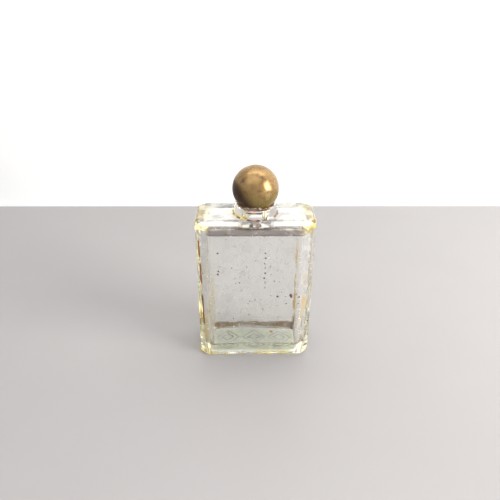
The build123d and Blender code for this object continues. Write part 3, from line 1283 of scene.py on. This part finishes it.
DISC_RINGS = 14
cork = disc("cork_disc", cork_low, cork_high, 0.2 * MM, DISC_RINGS)
for vert in cork.data.vertices:
    if vert.co.xy.length > 2 * MM:
        vert.co.xy *= 1 - 0.012 * abs(noise.noise(vert.co / (0.9 * MM)))
foil = disc("foil_disc", facing_low, facing_high, 0.04 * MM, DISC_RINGS)
lip_middle = finish_radius - 1.0 * MM
dent_width = 0.7 * MM
dent_depth = 0.05 * MM
for vert in foil.data.vertices:
    near_lip = math.exp(-(((vert.co.xy.length - lip_middle) / dent_width) ** 2))
    if vert.co.z < (facing_low.z + facing_high.z) / 2:
        vert.co.z += dent_depth * near_lip
report(cork)
report(foil)


def cut_cork():
    """Brown grain with dark pores."""
    finish = Finish("cut_cork")
    grain = finish.noise(1.2 * MM, 5.0, 0.65)
    pores = finish.ramp(finish.cells(0.8 * MM), 0.22, 0.08)
    colour = finish.mix(grain, (0.50, 0.29, 0.13), (0.70, 0.48, 0.27))
    colour = finish.mix(finish.product(pores, 0.8), colour, (0.16, 0.07, 0.03))
    finish.wire("Base Color", colour)
    finish.wire("Roughness", finish.ramp(grain, 0.3, 0.7, 0.75, 0.95))
    finish.bump(finish.math("SUBTRACT", grain, pores), 0.5, 0.15 * MM)
    return finish.material


def dull_foil():
    """Creased foil, tarnished in patches."""
    finish = Finish("dull_foil")
    finish.set(Metallic=1.0)
    creases = finish.noise(2.2 * MM, 5.0, 0.6, 1.5)
    tarnish = finish.ramp(finish.noise(4 * MM, 4.0), 0.45, 0.7)
    finish.wire("Base Color", finish.mix(tarnish, (0.66, 0.65, 0.62), (0.36, 0.30, 0.22)))
    finish.wire("Roughness", finish.ramp(creases, 0.3, 0.7, 0.3, 0.55))
    finish.bump(creases, 0.4, 0.15 * MM)
    return finish.material


for piece, finish, node, slot in (
    (cork, cut_cork(), "cork_liner", "cork"),
    (foil, dull_foil(), "foil_facing", "tin_foil"),
):
    piece.data.materials.append(finish)
    bpy.ops.object.select_all(action="DESELECT")
    piece.select_set(True)
    bpy.context.view_layer.objects.active = piece
    bpy.ops.object.shade_smooth_by_angle(angle=math.radians(40))
    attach(piece, "liner")
    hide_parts(node)

# %% [markdown]
# ## A plain studio
# Clear glass shows only what stands around it. A pale table in soft light, with a bright wall close
# behind it and a dimmer room in front, gives the edges of the glass their white and dark lines. A
# window-sized softbox to the right puts the one small highlight on the ball.

# %% Table and wall
TABLE_BACK = 0.16
TABLE_SIZE = 3.0
WALL_HEIGHT = 1.5
JUST_UNDER = 0.0001


def sheet_of(name, size, place, turn, colour, roughness):
    """A large flat sheet with slightly uneven paint."""
    bpy.ops.object.select_all(action="DESELECT")
    bpy.ops.mesh.primitive_plane_add(size=1, location=place, rotation=(turn, 0, 0))
    piece = bpy.context.object
    piece.name = name
    piece.scale = (*size, 1)
    bpy.ops.object.transform_apply(location=True, rotation=True, scale=True)
    finish = Finish(name)
    shade = finish.noise(0.05, 3.0)
    finish.wire("Base Color", finish.mix(shade, colour, tuple(channel * 0.94 for channel in colour)))
    finish.set(Roughness=roughness)
    piece.data.materials.append(finish.material)


table_place = (0, TABLE_BACK - TABLE_SIZE / 2, -JUST_UNDER)
sheet_of("pale_table", (TABLE_SIZE, TABLE_SIZE), table_place, 0, (0.33, 0.312, 0.308), 0.4)
wall_place = (0, TABLE_BACK + 0.005, WALL_HEIGHT / 2 - 0.05)
sheet_of("white_wall", (TABLE_SIZE, WALL_HEIGHT), wall_place, math.radians(90), (0.9, 0.9, 0.885), 0.8)


# %% Lights
def softbox(name, direction, distance, size, power, colour=(1, 1, 1)):
    """A square area light that faces the bottle."""
    lamp = bpy.data.lights.new(name, "AREA")
    lamp.shape = "RECTANGLE"
    lamp.size, lamp.size_y = size
    lamp.energy = power
    lamp.color = colour
    holder = bpy.data.objects.new(name, lamp)
    bpy.context.collection.objects.link(holder)
    towards = Vector(direction).normalized()
    place = Matrix.Translation(Vector((0, 0, shoulder)) + towards * distance)
    holder.matrix_world = place @ towards.to_track_quat("Z", "Y").to_matrix().to_4x4()


softbox("window", (0.848, -0.417, 0.324), 0.7, (0.34, 0.40), 7.0, (1.0, 0.99, 0.97))
softbox("overhead", (-0.2, -0.5, 1.0), 1.5, (1.7, 1.2), 9.0)
softbox("from_behind", (0.05, 0.22, 1.0), 0.5, (0.6, 0.18), 1.1)

# %% The room's own light
world = bpy.data.worlds.new("room")
bpy.context.scene.world = world
world.use_nodes = True
room_light = world.node_tree.nodes["Background"]
room_light.inputs["Color"].default_value = (0.95, 0.97, 1.0, 1)
room_light.inputs["Strength"].default_value = 0.72
bpy.context.scene.view_settings.view_transform = "Standard"

# %% [markdown]
# Light that gets into a thick glass wall runs along it like in a fibre, bouncing many times before it
# leaves. The renderer's usual limit of four mirror bounces would cut it off and turn the edges black,
# so the limits are raised.

# %% Let light run through the glass
MOST_BOUNCES = 24
paths = bpy.context.scene.cycles
paths.max_bounces = MOST_BOUNCES
paths.glossy_bounces = MOST_BOUNCES
paths.transmission_bounces = MOST_BOUNCES

# %% [markdown]
# ## The camera
# A normal lens, about twenty centimetres from the bottle and above it, looks down on its shoulder. It
# stands on a turntable round the bottle: first it is tilted, then moved out, then turned.

# %% Camera
CAMERA_PLACE = (-2.08 * MM, -190.2 * MM, 151.1 * MM)
LOOK_DOWN = math.radians(28.35)
TURN = math.radians(-1.215)
ROLL = math.radians(0.44)
camera_data = bpy.data.cameras.new("camera")
camera_data.lens = 36
camera_data.sensor_width = 36
camera_data.clip_start = 0.01
camera = bpy.data.objects.new("camera", camera_data)
bpy.context.collection.objects.link(camera)
stand = Matrix.Rotation(TURN, 4, "Z") @ Matrix.Translation(CAMERA_PLACE)
tilt = Matrix.Rotation(math.radians(90) - LOOK_DOWN, 4, "X")
camera.matrix_world = stand @ tilt @ Matrix.Rotation(ROLL, 4, "Z")
bpy.context.scene.camera = camera
print("the camera is", round(camera.matrix_world.translation.length / MM), "mm from the base")
